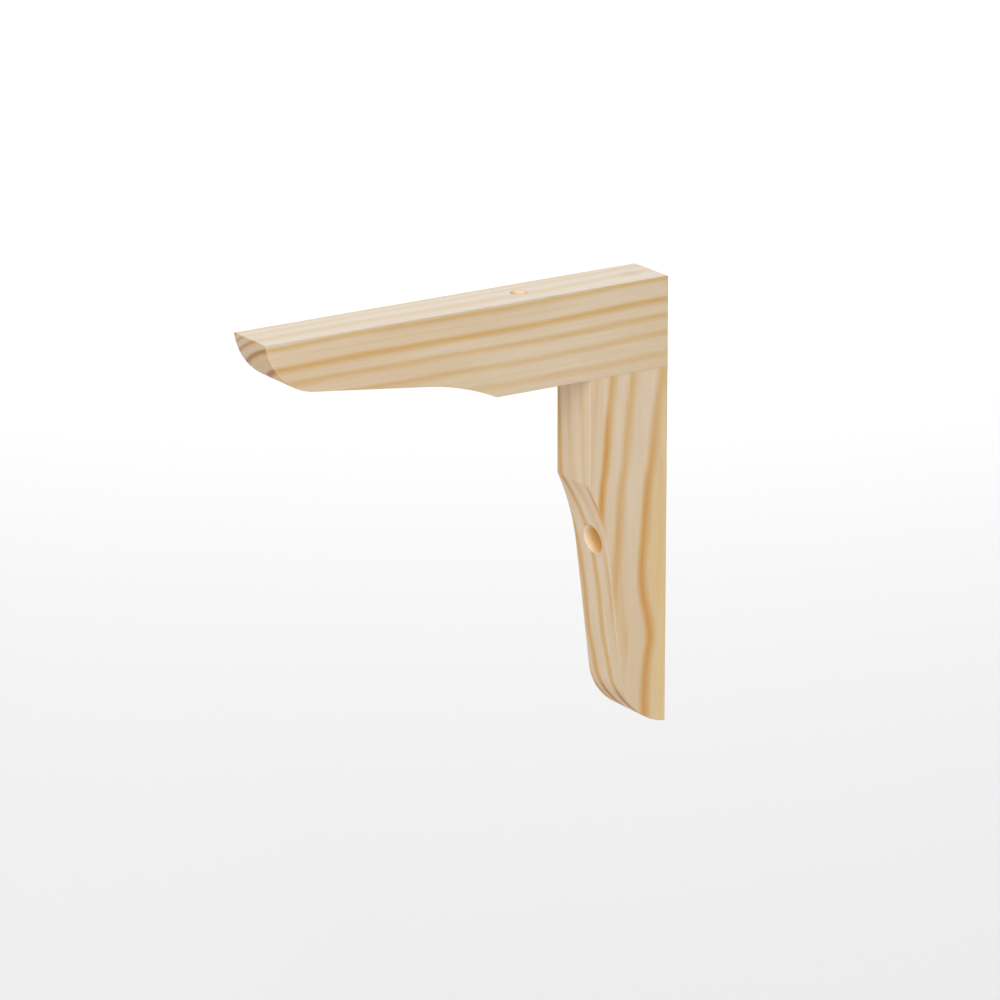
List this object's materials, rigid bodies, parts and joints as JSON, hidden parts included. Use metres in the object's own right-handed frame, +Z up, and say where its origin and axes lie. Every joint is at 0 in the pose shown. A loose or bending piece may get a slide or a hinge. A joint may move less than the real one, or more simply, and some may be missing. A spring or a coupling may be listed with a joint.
{
  "type": "wooden shelf bracket",
  "caption": "Plain pine shelf bracket: an arm under the shelf on a leg against the wall, both with a hollow and a long taper to a rounded end.",
  "frame": {"origin": "middle of the wall face: on the wall plane, half way across the thickness and half way up the height", "axes": "+Y points out of the back of the bracket into the wall, so the arm reaches along -Y; +Z is up, towards the shelf; X is side to side"},
  "size_m": [0.025, 0.2, 0.2],
  "materials": {
    "arm_pine": "bare planed and sanded pine, grain along the arm",
    "leg_pine": "bare planed and sanded pine, grain down the leg"
  },
  "bodies": {
    "root": {"arm": "arm_pine", "leg": "leg_pine"}
  },
  "joints": []
}
